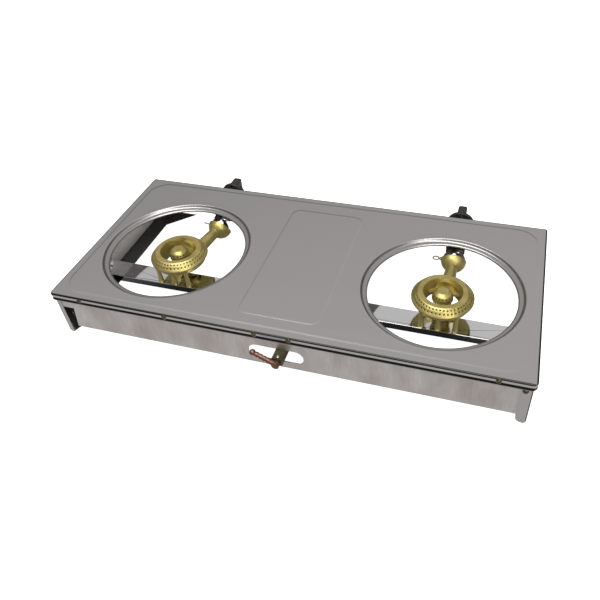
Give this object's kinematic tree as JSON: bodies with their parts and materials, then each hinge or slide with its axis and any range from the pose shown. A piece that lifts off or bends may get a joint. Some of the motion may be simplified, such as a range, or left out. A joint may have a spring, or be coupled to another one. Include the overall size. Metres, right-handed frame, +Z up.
{
  "type": "two-burner table stove",
  "caption": "Low table stove: sheet-steel top with round openings, cast gas burners on a rail, pressed corner legs, push-and-turn knobs, swivel hose inlet.",
  "frame": {"origin": "on the table under the middle of the top plate", "axes": "front with the knobs at -Y, gas inlet at +Y, +X along the plate to the left of someone who faces the inlet side, +Z up"},
  "size_m": [0.7, 0.383, 0.082],
  "materials": {
    "plate_steel": "satin stainless sheet",
    "panel_steel": "mill-finish stainless sheet",
    "leg_steel": "brushed stainless sheet",
    "rail_steel": "mirror-bright stainless sheet",
    "plated_screw": "yellow-plated steel screws",
    "zinc_screw": "zinc-plated steel screws",
    "burner_gold": "gold heat-proof paint on cast metal, semi-gloss",
    "flap_steel": "dark heat-stained sheet",
    "damper_wire": "stained steel wire",
    "nickel": "bright nickel-plated brass",
    "tap_casting": "dark olive cast body",
    "plain_brass": "machined brass",
    "spring_steel": "spring wire",
    "spindle_steel": "turned steel",
    "black_knob": "black semi-gloss heat-proof plastic",
    "bezel_chrome": "chrome",
    "bracket_paint": "dark painted sheet",
    "pipe_steel": "drawn steel pipe",
    "inlet_casting": "olive-brown cast block",
    "nozzle_brass": "copper-brown brass"
  },
  "bodies": {
    "frame": {"top_plate": "plate_steel", "front_panel": "panel_steel", "back_panel": "panel_steel", "left_end_panel": "panel_steel", "right_end_panel": "panel_steel", "rear_left_leg": "leg_steel", "rear_right_leg": "leg_steel", "front_left_leg": "leg_steel", "front_right_leg": "leg_steel", "leg_screws": "plated_screw", "skirt_screws": "plated_screw", "burner_rail": "rail_steel", "rail_screws": "zinc_screw", "left_burner_body": "burner_gold", "right_burner_body": "burner_gold", "left_ring_cover": "burner_gold", "right_ring_cover": "burner_gold", "left_centre_cap": "burner_gold", "right_centre_cap": "burner_gold", "burner_screws": "zinc_screw", "left_injector": "nickel", "right_injector": "nickel", "left_tap_body": "tap_casting", "right_tap_body": "tap_casting", "left_tap_cap": "spindle_steel", "right_tap_cap": "spindle_steel", "left_bezel": "bezel_chrome", "right_bezel": "bezel_chrome", "tap_brackets": "bracket_paint", "bracket_screws": "zinc_screw", "front_manifold": "pipe_steel", "manifold_tee": "plain_brass", "feed_pipe": "pipe_steel", "union_nut": "plain_brass", "inlet_block": "inlet_casting", "inlet_screw": "zinc_screw"},
    "left_plug": {"left_tap_plug": "plain_brass", "left_tap_spring": "spring_steel"},
    "right_plug": {"right_tap_plug": "plain_brass", "right_tap_spring": "spring_steel"},
    "left_control": {"left_spindle": "spindle_steel", "left_knob": "black_knob"},
    "right_control": {"right_spindle": "spindle_steel", "right_knob": "black_knob"},
    "left_damper": {"left_damper_flap": "flap_steel", "left_damper_wire": "damper_wire"},
    "right_damper": {"right_damper_flap": "flap_steel", "right_damper_wire": "damper_wire"},
    "nozzle": {"hose_nozzle": "nozzle_brass"}
  },
  "joints": [
    {"name": "left_tap_turn", "type": "hinge", "parent": "frame", "child": "left_plug", "pos_m": [0.2, -0.152, 0.057], "axis": [0, -1, 0], "range_deg": [0, 90]},
    {"name": "left_knob_push", "type": "slide", "parent": "left_plug", "child": "left_control", "axis": [0, 1, 0], "range_m": [0, 0.003], "stiffness_N_per_m": 1200, "springref_m": -0.003, "deforming": ["left_tap_spring"]},
    {"name": "right_tap_turn", "type": "hinge", "parent": "frame", "child": "right_plug", "pos_m": [-0.213, -0.152, 0.057], "axis": [0, -1, 0], "range_deg": [0, 90]},
    {"name": "right_knob_push", "type": "slide", "parent": "right_plug", "child": "right_control", "axis": [0, 1, 0], "range_m": [0, 0.003], "stiffness_N_per_m": 1200, "springref_m": -0.003, "deforming": ["right_tap_spring"]},
    {"name": "left_damper_turn", "type": "hinge", "parent": "frame", "child": "left_damper", "pos_m": [0.19157, -0.09084, 0.045], "axis": [0.9848, -0.1736, 0], "range_deg": [-30, 75]},
    {"name": "right_damper_turn", "type": "hinge", "parent": "frame", "child": "right_damper", "pos_m": [-0.2144, -0.09248, 0.045], "axis": [0.9998, -0.0175, 0], "range_deg": [-56, 49]},
    {"name": "nozzle_swivel", "type": "hinge", "parent": "frame", "child": "nozzle", "pos_m": [-0.0135, 0.1734, 0.045], "axis": [0, 1, 0], "range_deg": [-50, 62]}
  ]
}
